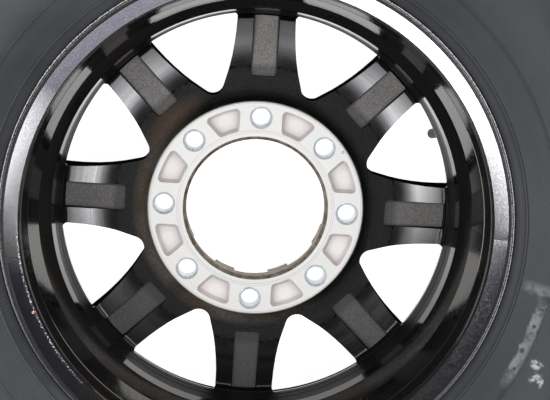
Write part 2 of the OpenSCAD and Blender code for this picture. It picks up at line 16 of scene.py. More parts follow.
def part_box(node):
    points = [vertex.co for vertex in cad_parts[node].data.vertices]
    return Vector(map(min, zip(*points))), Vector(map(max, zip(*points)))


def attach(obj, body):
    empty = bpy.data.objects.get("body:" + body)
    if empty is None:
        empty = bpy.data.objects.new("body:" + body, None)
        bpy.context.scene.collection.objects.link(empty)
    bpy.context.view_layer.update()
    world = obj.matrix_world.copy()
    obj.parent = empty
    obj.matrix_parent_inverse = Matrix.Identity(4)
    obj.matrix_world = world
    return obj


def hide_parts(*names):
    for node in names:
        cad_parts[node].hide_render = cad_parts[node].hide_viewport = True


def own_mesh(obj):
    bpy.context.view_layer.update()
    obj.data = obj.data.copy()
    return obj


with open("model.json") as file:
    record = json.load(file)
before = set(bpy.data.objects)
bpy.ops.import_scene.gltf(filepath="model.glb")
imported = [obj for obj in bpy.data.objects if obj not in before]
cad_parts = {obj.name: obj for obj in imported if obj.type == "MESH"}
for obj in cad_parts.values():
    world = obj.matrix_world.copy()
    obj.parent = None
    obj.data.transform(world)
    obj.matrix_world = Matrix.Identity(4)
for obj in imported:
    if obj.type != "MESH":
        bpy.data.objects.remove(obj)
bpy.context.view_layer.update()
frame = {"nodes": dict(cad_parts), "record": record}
scene = bpy.context.scene
wheel = frame["nodes"]["wheel"]
tyre = frame["nodes"]["tyre"]
MM = 0.001
print("nodes", sorted(frame["nodes"]))

# %% [markdown]
# ## Sizes that the finishes need
# The wheel was turned on a lathe after casting, so most of its edges are circles about one
# axis. The finishes follow those same circles, in millimetres from the axis. The radii are
# named once here, so that a finish ends where the metal does.

# %% Radii and heights in millimetres
BORE_R = 62.5
STEP_R = 69.0
LUG_CIRCLE_R = 82.55
PAD_R = 97.1
TURNED_R = 128.0
BARREL_R = 175.5
LIP_IN_R = 203.2
LIP_OUT_R = 215.0
SPOKE_STEP = 45.0
FLOOR_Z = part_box("tyre")[0].z
print("pad", PAD_R, "barrel", BARREL_R, "lip", LIP_IN_R, "to", LIP_OUT_R, "mm")

# %% [markdown]
# ## Short calls for node trees
# Every finish is a node tree that ends in one Principled shader. Nodes could be placed by
# hand in the editor, but a dozen trees with dozens of nodes each are easier to read and to
# change as a few lines of code. This first class makes nodes and joins them, and knows the
# sums that all the finishes share.


# %% Nodes, links and sums
class NodeTree:
    """A material's node tree, with short calls for making and joining nodes."""

    def __init__(self, name):
        self.mat = bpy.data.materials.new(name)
        self.mat.use_nodes = True
        self.tree = self.mat.node_tree
        self.shader = self.tree.nodes["Principled BSDF"]

    def node(self, kind, **values):
        """A new node with some of its settings."""
        made = self.tree.nodes.new("ShaderNode" + kind)
        for key, value in values.items():
            setattr(made, key, value)
        return made

    def link(self, out, into):
        """Joins an output to an input."""
        self.tree.links.new(out, into)

    def feed(self, made, number, value):
        """Gives a node's input another node's output, or a plain value."""
        if isinstance(value, bpy.types.NodeSocket):
            self.link(value, made.inputs[number])
        else:
            made.inputs[number].default_value = value

    def math(self, operation, *values):
        """One sum on one or more values."""
        made = self.node("Math", operation=operation)
        for number, value in enumerate(values):
            self.feed(made, number, value)
        return made.outputs[0]

    def times(self, product, *others):
        """Two or more values multiplied."""
        for other in others:
            product = self.math("MULTIPLY", product, other)
        return product

    def span(self, value, low, high, to_low=0.0, to_high=1.0):
        """Maps a range onto another and holds it at both ends."""
        made = self.node("MapRange")
        self.feed(made, 0, value)
        for number, limit in enumerate((low, high, to_low, to_high), 1):
            made.inputs[number].default_value = limit
        return made.outputs[0]

    def mix(self, factor, first, second):
        """Colour between two colours."""
        made = self.node("Mix", data_type="RGBA")
        self.feed(made, 0, factor)
        for number, value in ((6, first), (7, second)):
            if isinstance(value, tuple):
                made.inputs[number].default_value = (*value, 1)
            else:
                self.link(value, made.inputs[number])
        return made.outputs[2]


print("sums ready:", [name for name in vars(NodeTree) if not name.startswith("_")])

# %% [markdown]
# ## Places on the wheel
# A finish that came off a lathe, and dust that was flung out by a turning wheel, both follow
# circles. So the trees start from a point's radius and its angle about the axis, and not
# from x and y. The points come from Object coordinates, which stay on the metal when it
# moves. An angle of 0 lies on +X and 90 on +Y.


# %% Radius, angle and soft spots
class PlacedTree(NodeTree):
    """A node tree that knows where on the wheel a point lies."""

    def place(self):
        """Object coordinates in millimetres."""
        coords = self.node("TexCoord")
        scaled = self.node("VectorMath", operation="SCALE")
        self.link(coords.outputs["Object"], scaled.inputs[0])
        scaled.inputs["Scale"].default_value = 1 / MM
        return scaled.outputs[0]

    def polar(self, place=None):
        """Radius, angle in degrees and height of a point."""
        parts = self.node("SeparateXYZ")
        self.link(place or self.place(), parts.inputs[0])
        x, y, z = parts.outputs
        radius = self.math("SQRT", self.math("ADD", self.times(x, x), self.times(y, y)))
        angle = self.math("DEGREES", self.math("ARCTAN2", y, x))
        return radius, angle, z

    def wave(self, angle, middle):
        """1 at one angle in degrees, 0 at the opposite one, and a cosine between."""
        away = self.math("RADIANS", self.math("SUBTRACT", angle, middle))
        return self.span(self.math("COSINE", away), -1.0, 1.0)

    def band(self, value, low, high, soft):
        """1 between two limits, with soft ends."""
        return self.times(self.span(value, low - soft, low + soft),
                          self.span(value, high + soft, high - soft))

    def near(self, radius, angle, middle, reach):
        """Soft spot: 1 at its middle, 0 at its reach in millimetres and degrees."""
        across = self.math("DIVIDE", self.math("SUBTRACT", radius, middle[0]), reach[0])
        along = self.math("DIVIDE", self.math("SUBTRACT", angle, middle[1]), reach[1])
        away = self.math("ADD", self.times(across, across), self.times(along, along))
        return self.span(self.math("SQRT", away), 1.0, 0.0)


print("places ready:", [name for name in vars(PlacedTree) if not name.startswith("_")])

# %% [markdown]
# ## Grain, turning lines and the shader
# Real metal and rubber are never one flat colour. Cast skin has grain, turned metal has very
# fine circles, and both are noise here: the circles are noise that changes quickly along
# the radius and hardly along the angle. Image textures could show the same, but noise needs
# no file and stays sharp however near the camera comes.


# %% Grain, circles and bump
class Finish(PlacedTree):
    """A finish for a piece, with its grain, its colour, its roughness and its bump."""

    def __init__(self, name, colour, rough, metal=0.0, shine=0.5):
        super().__init__(name)
        self.shader.inputs["Base Color"].default_value = (*colour, 1)
        self.shader.inputs["Roughness"].default_value = rough
        self.shader.inputs["Metallic"].default_value = metal
        self.shader.inputs["Specular IOR Level"].default_value = shine

    def noise(self, place, scale, detail=3.0, rough=0.55, stretch=None):
        """Noise whose cells are about 1 / scale millimetres."""
        if stretch:
            mapping = self.node("Mapping")
            mapping.inputs["Scale"].default_value = stretch
            self.link(place, mapping.inputs["Vector"])
            place = mapping.outputs[0]
        made = self.node("TexNoise")
        made.inputs["Scale"].default_value = scale
        made.inputs["Detail"].default_value = detail
        made.inputs["Roughness"].default_value = rough
        self.link(place, made.inputs["Vector"])
        return made.outputs[0]

    def circles(self, radius, angle, pitch, breaks=6.0):
        """Turning lines a pitch apart, which change a few times in a full turn."""
        joined = self.node("CombineXYZ")
        self.link(self.math("DIVIDE", radius, pitch), joined.inputs[0])
        self.link(self.math("DIVIDE", angle, 360 / breaks), joined.inputs[1])
        return self.noise(joined.outputs[0], 1.0, 4.0)

    def set_colour(self, value):
        self.link(value, self.shader.inputs["Base Color"])

    def set_rough(self, value):
        self.link(value, self.shader.inputs["Roughness"])

    def bump(self, height, depth):
        """Bump whose height of 1 stands depth millimetres proud."""
        made = self.node("Bump")
        made.inputs["Distance"].default_value = depth * MM
        self.link(height, made.inputs["Height"])
        self.link(made.outputs[0], self.shader.inputs["Normal"])


def tell(*finishes):
    """Prints the size of each finish's tree."""
    for finish in finishes:
        print(finish.mat.name, "has", len(finish.tree.nodes), "nodes")


print("finishes ready:", [name for name in vars(Finish) if not name.startswith("_")])

# %% [markdown]
# ## Bare metal of the pad
# The pad is the ring that bolts to the hub. It is turned after painting, so it is clean
# bright aluminium with very fine circles, a faint stain, and a thin dull line beside each of
# its edges. A full metal would mirror the white floor and lose its shape, so the finish is
# only a third metal, with a wide highlight. One small punch mark lies beside a lug hole: a
# dark spot is enough for it, since its dent is far smaller than a pixel.

# %% Turned pad
PUNCH_PLACE = (93.5, 36.5)
PUNCH_REACH = (1.5, 0.92)


def turned_pad():
    pad = Finish("pad_bare_metal", (0.7, 0.7, 0.69), 0.55, 0.3)
    radius, angle, _ = pad.polar()
    lines = pad.circles(radius, angle, 0.22)
    stain = pad.span(pad.noise(pad.place(), 0.045, 4.0), 0.38, 0.72)
    turned = pad.mix(lines, (0.69, 0.69, 0.685), (0.57, 0.57, 0.565))
    turned = pad.mix(stain, turned, (0.63, 0.62, 0.61))
    edge_lines = pad.math("MAXIMUM", pad.band(radius, 94.9, 95.3, 0.2),
                          pad.band(radius, 70.6, 71.0, 0.2))
    turned = pad.mix(edge_lines, turned, (0.42, 0.42, 0.41))
    punch = pad.band(pad.near(radius, angle, PUNCH_PLACE, PUNCH_REACH), 0.2, 0.55, 0.1)
    pad.set_colour(pad.mix(punch, turned, (0.12, 0.1, 0.09)))
    pad.set_rough(pad.span(lines, 0.3, 0.7, 0.42, 0.56))
    pad.bump(lines, 0.012)
    return pad


pad_metal = turned_pad()
tell(pad_metal)

# %% [markdown]
# ## Bore and lug holes
# The bore's wall was turned too, but brown dust has settled in it, so its metal is darker
# and mottled. The lug holes are clean, and look a little bluish beside the pad's warmer
# grey. Both are short trees: noise for the mottling is all they need at their size.


# %% Dusty bore and clean lug holes
def dusty_bore():
    bore = Finish("bore_dusty_metal", (0.3, 0.27, 0.235), 0.5, 0.5)
    _, angle, height = bore.polar()
    dust = bore.span(bore.noise(bore.place(), 0.16, 5.0), 0.35, 0.65)
    bore.set_colour(bore.mix(dust, (0.33, 0.29, 0.24), (0.14, 0.1, 0.065)))
    bore.bump(bore.circles(height, angle, 0.5), 0.03)
    return bore


def clean_lug_hole():
    hole = Finish("lug_hole_metal", (0.78, 0.82, 0.86), 0.32, 0.6)
    hole.bump(hole.noise(hole.place(), 0.7), 0.03)
    return hole


bore_metal = dusty_bore()
hole_metal = clean_lug_hole()
tell(bore_metal, hole_metal)

# %% [markdown]
# ## Cast floors of the pad's pockets
# Eight shallow pockets lighten the pad. Their floors are bare as they left the mould: matt,
# a little pink, finely grained, and duller towards their walls, where less light reaches.
# The lamps alone leave such shallow floors flat, so a soft spot about each pocket's middle
# keeps the middle pale and lets the rest turn grey.

# %% Pocket floors
POCKET_MIDDLE = (83.0, 22.5)
POCKET_REACH = (12.0, 10.5)


def cast_pocket():
    pocket = Finish("pocket_cast_metal", (0.7, 0.66, 0.64), 0.75, 0.0, 0.3)
    grain = pocket.noise(pocket.place(), 0.7, 4.0)
    cloud = pocket.noise(pocket.place(), 0.09, 2.0)
    radius, angle, _ = pocket.polar()
    folded = pocket.math("WRAP", angle, SPOKE_STEP, 0.0)
    middle = pocket.span(pocket.near(radius, folded, POCKET_MIDDLE, POCKET_REACH), 0.1, 0.7)
    skin = pocket.mix(grain, (0.88, 0.85, 0.84), (0.68, 0.64, 0.625))
    skin = pocket.mix(cloud, skin, (0.78, 0.74, 0.73))
    pocket.set_colour(pocket.mix(middle, (0.56, 0.52, 0.51), skin))
    pocket.bump(grain, 0.22)
    return pocket


pocket_cast = cast_pocket()
tell(pocket_cast)

# %% [markdown]
# ## Black cast skin of the hub
# The hub's slope and the spokes' roots are cast and painted black, so they are dark with a
# sandy grain and little shine. Brown brake dust lies about the pad on the lower left, and
# its brighter patch there is partly a painted highlight, where the slope faces the left
# lamp. The upper left has a tint of rust. Dust could be a second mesh of grains, but at this
# distance it is only a change of colour: two soft areas, broken up by the same grain.

# %% Black cast paint with dust, painted highlight and rust
DUST_AND_SHEEN_ANGLE = -145.0
RUST_PLACE = (110.0, 138.0)
RUST_REACH = (12.0, 22.0)


def black_cast():
    black = Finish("cast_black_paint", (0.01, 0.0095, 0.0095), 0.45, 0.0, 0.22)
    place = black.place()
    radius, angle, _ = black.polar(place)
    speck = black.noise(place, 0.55, 4.0, 0.75)
    cloud = black.noise(place, 0.03, 3.0)
    brown = black.noise(place, 0.022, 2.0)
    # dust patch on the lower left, partly a painted highlight where the slope faces the left
    # lamp
    dust_and_sheen = black.times(black.span(radius, 113.0, 98.0),
                        black.span(black.wave(angle, DUST_AND_SHEEN_ANGLE), 0.45, 0.9),
                        black.span(cloud, 0.3, 0.5, 0.45, 1.0),
                        black.span(speck, 0.3, 0.62, 0.25, 1.0))
    paint = black.mix(black.span(speck, 0.54, 0.72), (0.006, 0.0058, 0.0057),
                      (0.032, 0.03, 0.029))
    dust = black.mix(black.span(brown, 0.4, 0.6), (0.25, 0.22, 0.19), (0.2, 0.145, 0.1))
    paint_with_dust_and_sheen = black.mix(black.times(dust_and_sheen, 0.75), paint, dust)
    rusty = black.times(black.near(radius, angle, RUST_PLACE, RUST_REACH),
                        black.span(speck, 0.3, 0.65, 0.3, 1.0))
    black.set_colour(black.mix(rusty, paint_with_dust_and_sheen, (0.08, 0.047, 0.031)))
    black.set_rough(black.span(speck, 0.3, 0.8, 0.33, 0.6))
    black.bump(speck, 0.6)
    return black


cast_black = black_cast()
tell(cast_black)

# %% [markdown]
# ## Pockets in the spokes
# A flat-floored pocket runs along each spoke's back, with coarse cast grain under worn grey
# paint. Its floor is dark along both walls and at its inner end, where the walls shade
# it, and the pockets at the top of the picture catch more light than those at its foot.
# The shade is worked out from a point's distance beside the spoke's middle line.

# %% Grained floor of a spoke's pocket
FLOOR_EDGE = (10.9, 9.5)
FLOOR_ROOT = (125.5, 131.0)
TOP_ANGLE = 90.0


def spoke_pocket():
    floor_paint = Finish("spoke_pocket_paint", (0.1, 0.097, 0.097), 0.5, 0.0, 0.5)
    place = floor_paint.place()
    speck = floor_paint.noise(place, 0.6, 4.0, 0.75)
    cloud = floor_paint.noise(place, 0.08, 2.0)
    radius, angle, _ = floor_paint.polar(place)
    half = SPOKE_STEP / 2
    off_line = floor_paint.math("RADIANS", floor_paint.math("WRAP", angle, half, -half))
    beside = floor_paint.math(
        "ABSOLUTE", floor_paint.times(radius, floor_paint.math("SINE", off_line)))
    along = floor_paint.times(radius, floor_paint.math("COSINE", off_line))
    lit = floor_paint.times(
        floor_paint.span(beside, *FLOOR_EDGE, 0.12, 1.0),
        floor_paint.span(along, *FLOOR_ROOT, 0.4, 1.0),
        floor_paint.span(floor_paint.wave(angle, TOP_ANGLE), 0.0, 1.0, 0.22, 1.0))
    grey = floor_paint.mix(cloud, (0.06, 0.056, 0.054), (0.12, 0.112, 0.108))
    grey = floor_paint.mix(floor_paint.span(speck, 0.34, 0.78), grey, (0.34, 0.33, 0.325))
    floor_paint.set_colour(floor_paint.mix(lit, (0.012, 0.011, 0.0105), grey))
    floor_paint.bump(speck, 0.6)
    return floor_paint


groove_cast = spoke_pocket()
tell(groove_cast)

# %% [markdown]
# ## Gloss black of the barrel
# The barrel was turned before painting, and the fine circles still show through the gloss.
# Black gloss has no brightness of its own: all that is seen in it is the floor and the lamps,
# mirrored. So its colour stays almost black, and the dust in it roughens the mirror. The
# mirror is tinted a little warm, as old clear coat is. The foot of the well and the windows'
# walls stay dull, because they face each other and mirror only black.


# %% Barrel, well and window walls
def gloss_barrel():
    barrel = Finish("barrel_gloss_black", (0.008, 0.008, 0.0085), 0.1, 0.0, 0.6)
    _, angle, height = barrel.polar()
    dust = barrel.noise(barrel.place(), 0.5, 5.0, 0.7)
    barrel.set_colour(barrel.mix(barrel.span(dust, 0.6, 0.85), (0.007, 0.007, 0.0075),
                                 (0.05, 0.046, 0.042)))
    barrel.set_rough(barrel.span(dust, 0.4, 0.85, 0.06, 0.3))
    barrel.bump(barrel.circles(height, angle, 0.9, 3.0), 0.004)
    barrel.shader.inputs["Specular Tint"].default_value = (1.0, 0.95, 0.87, 1)
    return barrel


def dull_well():
    well = Finish("well_dull_black", (0.012, 0.0115, 0.011), 0.35, 0.0, 0.06)
    well.bump(well.noise(well.place(), 0.6), 0.02)
    return well


barrel_paint = gloss_barrel()
well_paint = dull_well()
# matt black for the front and the windows' walls; on the spoke pockets' walls this near black
# is painted shade
matt_black_and_pocket_shade = Finish("matt_black_and_pocket_wall_shade", (0.012, 0.0115, 0.011), 0.7, 0.0, 0.0)
tell(barrel_paint, well_paint, matt_black_and_pocket_shade)

# %% [markdown]
# ## Turned strips beside the spokes' pockets
# Each spoke has two flat turned strips, one on either side of its pocket. They mirror the
# sky of the studio: bright in their middle, dark at both ends, and stronger on the spokes
# that point left and right. A paint's own mirror strength is one number here, which can't
# change along a strip. So the strips are written as a dark metal, whose colour is its mirror
# strength, and that colour follows the radius and the angle. Near the hub the strip turns
# as rough as the cast skin, so that no border shows between them.

# %% Strips that mirror the studio
STRIP_RISE = (131.0, 148.0)
STRIP_FALL = (150.0, 170.0)
STRIP_ROOT = (144.0, 129.0)


def mirror_strip():
    strip = Finish("strip_gloss_black", (0.05, 0.05, 0.051), 0.2, 1.0)
    radius, angle, _ = strip.polar()
    lines = strip.circles(radius, angle, 0.8, 3.0)
    sideways = strip.span(strip.wave(strip.times(angle, 2.0), 0.0), 0.0, 1.0, 0.17, 1.0)
    ends = strip.times(strip.span(radius, *STRIP_FALL, 1.0, 0.25),
                       strip.math("POWER", strip.span(radius, *STRIP_RISE), 1.6))
    root = strip.span(radius, *STRIP_ROOT)
    mirror = strip.math("ADD", strip.times(sideways, ends), strip.times(root, 0.1))
    strip.set_colour(strip.mix(mirror, (0.004, 0.004, 0.0045), (0.082, 0.082, 0.084)))
    strip.set_rough(strip.math("ADD", strip.span(lines, 0.35, 0.7, 0.13, 0.21),
                               strip.times(root, 0.27)))
    strip.bump(lines, 0.02)
    return strip


strip_paint = mirror_strip()
tell(strip_paint)

# %% [markdown]
# ## Bright lip
# The band inside the flange was machined bright. Its colour carries a painted reflection: it
# is bright on the upper right, where it mirrors the softbox above, and at one place on the
# left, and dull grey elsewhere, with a fine glitter whose painted sheen is strongest on the
# lower right. Chips have broken its inner edge on the lower left, and one of them shows
# coppery primer. The lip is a metal whose colour sets its strength, as on the strips; the
# chips are soft areas cut up by noise, which looks more like broken paint than any row of
# drawn spots.

# %% Lip band
LIP_REFLECTION_ANGLE = 50.0
LIP_SECOND_REFLECTION_ANGLE = 172.0
LIP_GLITTER_SHEEN_ANGLE = -60.0
CHIPPED_SIDE = (-172.0, -138.0)
CHIP_PLACE = (205.5, -155.1)
CHIP_REACH = (1.9, 0.5)


def bright_lip():
    lip = Finish("lip_bright_metal", (0.1, 0.098, 0.106), 0.1, 1.0)
    place = lip.place()
    radius, angle, _ = lip.polar(place)
    speck = lip.noise(place, 0.75, 4.0, 0.75)
    worn = lip.times(lip.span(lip.noise(place, 0.6, 4.0, 0.7), 0.52, 0.6),
                     lip.span(radius, 205.2, 204.4),
                     lip.band(angle, *CHIPPED_SIDE, 6.0))
    # painted reflection: the lip's colour is raised on the upper right, where it mirrors the
    # softbox, and at one place on the left
    painted_reflection = lip.math("MAXIMUM", lip.span(lip.wave(angle, LIP_REFLECTION_ANGLE), 0.75, 0.985),
                     lip.span(lip.wave(angle, LIP_SECOND_REFLECTION_ANGLE), 0.96, 1.0, 0.0, 0.85))
    # painted sheen: the glitter is brighter towards the lower right
    glitter_sheen = lip.span(lip.wave(angle, LIP_GLITTER_SHEEN_ANGLE), 0.45, 0.9)
    metal = lip.mix(painted_reflection, (0.02, 0.0195, 0.0235), (0.13, 0.13, 0.135))
    glitter = lip.mix(glitter_sheen, (0.031, 0.03, 0.035), (0.17, 0.168, 0.18))
    glitter = lip.mix(painted_reflection, glitter, (0.17, 0.17, 0.175))
    metal = lip.mix(lip.span(speck, 0.48, 0.66), metal, glitter)
    metal = lip.mix(worn, metal, (0.3, 0.31, 0.34))
    chip = lip.span(lip.near(radius, angle, CHIP_PLACE, CHIP_REACH), 0.2, 0.3)
    lip.set_colour(lip.mix(chip, metal, (0.75, 0.42, 0.3)))
    lip.set_rough(lip.math("ADD", lip.span(speck, 0.35, 0.7, 0.09, 0.05), lip.times(worn, 0.4)))
    lip.bump(lip.math("ADD", speck, lip.circles(radius, angle, 0.18)), 0.003)
    return lip


lip_metal = bright_lip()
tell(lip_metal)

# %% [markdown]
# ## Scratched flange
# The flange is the rim's outermost ridge, and tyre tools have scraped its paint off along
# two circles. A scratch could be a thin strip of mesh, but hundreds would be needed. Two
# narrow bands of bare metal, broken up by noise that runs around the wheel, give the same
# thin bright lines, strongest near the top and fading towards the foot of the picture.

# %% Flange with two scratched circles
INNER_SCRATCH = (217.9, 218.4)
OUTER_SCRATCH = (219.3, 220.5)
SCRATCHED_ANGLE = 70.0


def scratched_flange():
    flange = Finish("flange_scratched_paint", (0.01, 0.01, 0.011), 0.25, 0.0, 0.6)
    radius, angle, _ = flange.polar()
    breaks = flange.circles(radius, angle, 1.2, 900.0)
    edges = flange.math("ADD", flange.times(flange.band(radius, *INNER_SCRATCH, 0.15), 0.6),
                        flange.band(radius, *OUTER_SCRATCH, 0.1))
    bare = flange.times(edges, flange.span(breaks, 0.38, 0.5),
                        flange.span(flange.wave(angle, SCRATCHED_ANGLE), 0.15, 0.6, 0.25, 1.0))
    flange.set_colour(flange.mix(bare, (0.01, 0.01, 0.0115), (0.93, 0.93, 0.94)))
    flange.set_rough(flange.span(bare, 0.0, 1.0, 0.22, 0.5))
    return flange


flange_paint = scratched_flange()
tell(flange_paint)

# %% [markdown]
# ## Tyre rubber
# The sidewall is a bluish dark grey with faint clouds, and painted shade darkens its right
# side. On the lower right a pale smear lies between two moulded rings, with a few dark spots
# in it and pale flecks beside it. A strip of fine knurling lies beside the flange on the
# lower left. All of it is written on the sidewall by radius and angle, so that it follows
# the tyre's own rings, and the smear's border is pushed in and out by noise, as a smear's
# border is.

# %% Smear on the sidewall
SMEAR_R = (247.5, 255.0)
SMEAR_ANGLES = (-28.0, -12.0)
TRAIL_R = (235.0, 258.0)
TRAIL_ANGLES = (-8.6, -6.4)
DARK_SPOTS = [((251.0, -16.2), (2.2, 0.6)), ((250.0, -21.5), (2.5, 0.8)),
              ((251.5, -25.4), (2.0, 0.6)), ((252.5, -12.6), (1.6, 0.35))]
PALE_FLECKS = [((254.0, -11.8), (2.6, 0.5)), ((265.0, -22.5), (7.0, 1.2)),
               ((272.0, -25.0), (9.0, 1.5)), ((258.0, -8.2), (4.0, 0.6))]


def smeared(rubber, black, radius, angle, ragged):
    """The sidewall's colour with the smear, its dark spots and its flecks laid over it."""
    edge = rubber.math("ADD", radius, rubber.times(rubber.math("SUBTRACT", ragged, 0.5), 8.0))
    trail_edge = rubber.math("ADD", angle, rubber.times(ragged, 3.0))
    smear = rubber.times(rubber.band(edge, *SMEAR_R, 1.0),
                         rubber.band(angle, *SMEAR_ANGLES, 2.0))
    trail = rubber.times(rubber.band(radius, *TRAIL_R, 3.0),
                         rubber.band(trail_edge, *TRAIL_ANGLES, 0.5))
    smear = rubber.math("MAXIMUM", smear, rubber.times(trail, 0.7))
    skin = rubber.mix(rubber.times(smear, rubber.span(ragged, 0.3, 0.6)), black,
                      (0.19, 0.2, 0.21))
    for middle, reach in DARK_SPOTS:
        spot = rubber.span(rubber.near(radius, angle, middle, reach), 0.1, 0.6)
        skin = rubber.mix(spot, skin, (0.02, 0.021, 0.024))
    for middle, reach in PALE_FLECKS:
        fleck = rubber.times(rubber.span(rubber.near(radius, angle, middle, reach), 0.0, 0.5),
                             rubber.span(ragged, 0.48, 0.58))
        skin = rubber.mix(fleck, skin, (0.42, 0.44, 0.46))
    return skin


print("smear with", len(DARK_SPOTS), "dark spots and", len(PALE_FLECKS), "pale flecks")

# %% Sidewall rubber
KNURL_R = (223.0, 228.0)
KNURL_ANGLES = (-172.0, -138.0)


def sidewall():
    rubber = Finish("tyre_sidewall_rubber", (0.036, 0.039, 0.046), 0.55)
    place = rubber.place()
    radius, angle, _ = rubber.polar(place)
    cloud = rubber.span(rubber.noise(place, 0.02, 4.0), 0.3, 0.7)
    grain = rubber.noise(place, 1.1, 3.0, 0.6)
    ragged = rubber.noise(place, 0.12, 5.0, 0.65)
    black = rubber.mix(cloud, (0.031, 0.033, 0.04), (0.05, 0.053, 0.062))
    # painted shade: the sidewall's right side is darkened in its colour
    painted_shade_right = rubber.span(rubber.wave(angle, 0.0), 0.3, 0.8, 0.0, 0.55)
    black = rubber.mix(painted_shade_right, black, (0.014, 0.015, 0.019))
    rubber.set_colour(smeared(rubber, black, radius, angle, ragged))
    rubber.set_rough(rubber.span(grain, 0.3, 0.7, 0.46, 0.62))
    knurl = rubber.times(rubber.math("SINE", rubber.times(angle, 8.0)),
                         rubber.band(radius, *KNURL_R, 0.5),
                         rubber.band(angle, *KNURL_ANGLES, 1.0))
    rubber.bump(rubber.math("ADD", grain, rubber.times(knurl, 2.0)), 0.12)
    return rubber


tyre_rubber = sidewall()
tell(tyre_rubber)

# %% [markdown]
# ## Small finishes of the valve
# The valve is a moulded rubber plug around a brass stem, with a core inside it and a plastic
# cap on it. These pieces are a few millimetres across, so each needs only its true colour
# and a fine grain. One function makes them all; the brass grain is stretched along one
# axis, because drawn rod is streaked along its length.


# %% Rubber, brass, plastic and steel
def small_finish(name, colour, rough, metal, grain_scale, depth, stretch=None):
    """A plain finish with a fine grain."""
    finish = Finish(name, colour, rough, metal)
    finish.bump(finish.noise(finish.place(), grain_scale, stretch=stretch), depth)
    return finish


plug_rubber = small_finish("valve_moulded_rubber", (0.02, 0.02, 0.022), 0.6, 0.0, 3.0, 0.03)
brass = small_finish("valve_brass", (0.72, 0.52, 0.22), 0.3, 1.0, 2.0, 0.01, (1, 1, 6))
cap_plastic = small_finish("valve_cap_plastic", (0.1, 0.1, 0.105), 0.45, 0.0, 4.0, 0.02)
seal_rubber = small_finish("valve_seal_rubber", (0.3, 0.08, 0.06), 0.6, 0.0, 5.0, 0.01)
spring_steel = small_finish("valve_spring_steel", (0.55, 0.55, 0.57), 0.3, 1.0, 6.0, 0.005)
tell(plug_rubber, brass, cap_plastic, seal_rubber, spring_steel)

# %% [markdown]
# ## Where a face of the wheel lies
# The wheel is one casting, so it is one mesh with many finishes. The faces could be picked
# by hand in edit mode, but the picks would be lost with the next version of the mesh.
# Instead each face is asked where it lies: the eight spokes are alike, so a point is first
# turned onto the nearest spoke, and then one spoke's rules serve for all.

# %% A point seen from its spoke
HUB_EDGE = (107.6, -14.4)
HUB_FALL = 2.6 / 18.5
SPOKE_BACK_Z = -18.2
SPOKE_RISE = 0.3
SPOKE_RUN = 40.9


def by_spoke(point):
    """A point seen from the nearest spoke's own line: along it, beside it, and its height."""
    x, y, z = (v / MM for v in point)
    half = SPOKE_STEP / 2
    off_line = math.radians((math.degrees(math.atan2(y, x)) + half) % SPOKE_STEP - half)
    radius = math.hypot(x, y)
    return radius * math.cos(off_line), abs(radius * math.sin(off_line)), z


def spoke_back(radius):
    """Height of a spoke's back at a distance from the axis."""
    if radius < TURNED_R:
        return HUB_EDGE[1] - HUB_FALL * (radius - HUB_EDGE[0])
    return SPOKE_BACK_Z + SPOKE_RISE * ((radius - TURNED_R) / SPOKE_RUN) ** 2


print("spoke's back at its root", spoke_back(TURNED_R), "at the barrel",
      round(spoke_back(BARREL_R), 2), "mm")

# %% [markdown]
# ## Which face gets which finish
# Three things settle a face's finish: its distance from the axis, its height, and whether it
# looks up or sideways. A face at the very top of the pad is turned, and the wall of a pocket
# just below it is cast. Because the rules follow the real tool's cuts, the finishes meet on
# the metal's own edges, and no border has to be painted.

# %% Rules for the pad and the rim
PAD_TOP_Z = -0.45
POCKET_TOP_Z = -0.05
POCKET_OUT_R = PAD_R - 1.5
LIP_Z = 80.0
WELL_Z = (-13.5, 14.0)
WELL_R = 183.0
# How far up a face looks: 1 is straight up, 0 is sideways.
FLAT = 0.9
STEP_FLAT = 0.95
LIP_FLAT = 0.7


def pad_finish(radius, z, up):
    """Finish for a face of the pad: its turned top, its pockets and its step to the bore."""
    if z > PAD_TOP_Z and up > FLAT:
        return pad_metal
    if radius > STEP_R + 1:
        return pocket_cast if z < POCKET_TOP_Z and radius < POCKET_OUT_R else pad_metal
    return pad_metal if up > STEP_FLAT else bore_metal


def rim_finish(radius, z, up):
    """Finish for a face of the rim's back half, from the well to the flange."""
    if radius > LIP_IN_R - 0.4 and z > LIP_Z:
        if radius > LIP_OUT_R + 0.3:
            return flange_paint
        return lip_metal if up > LIP_FLAT else barrel_paint
    return well_paint if WELL_Z[0] < z < WELL_Z[1] and radius < WELL_R else barrel_paint


print("pad's top gets", pad_finish(STEP_R + 2, 0.0, 1.0).mat.name)
print("lip's top gets", rim_finish(LIP_IN_R + 1, LIP_Z + 5, 1.0).mat.name)

# %% Rules for any face
POCKET_ALONG = (117.0, 175.0)
POCKET_HALF = 12.8
POCKET_MOUTH = 1.2
LUG_REACH = 10.3
BACK_Z = -16.5
PAD_FLOOR_Z = -5.2
BORE_FOOT_R = BORE_R + 4.6
STRIP_Z = -22.0
STRIP_FLAT = 0.2
WELL_FOOT_R = TURNED_R + 37
WALL_R = PAD_R + 8
WALL_LEAN = 0.3


def in_spoke_pocket(corners):
    """True for a face whose corners all lie in a spoke's pocket and reach below its mouth."""
    low, high = POCKET_ALONG
    inside = all(low < along < high and beside < POCKET_HALF for along, beside, _ in corners)
    deepest = max(spoke_back(along) - z for along, _, z in corners)
    return inside and deepest > POCKET_MOUTH


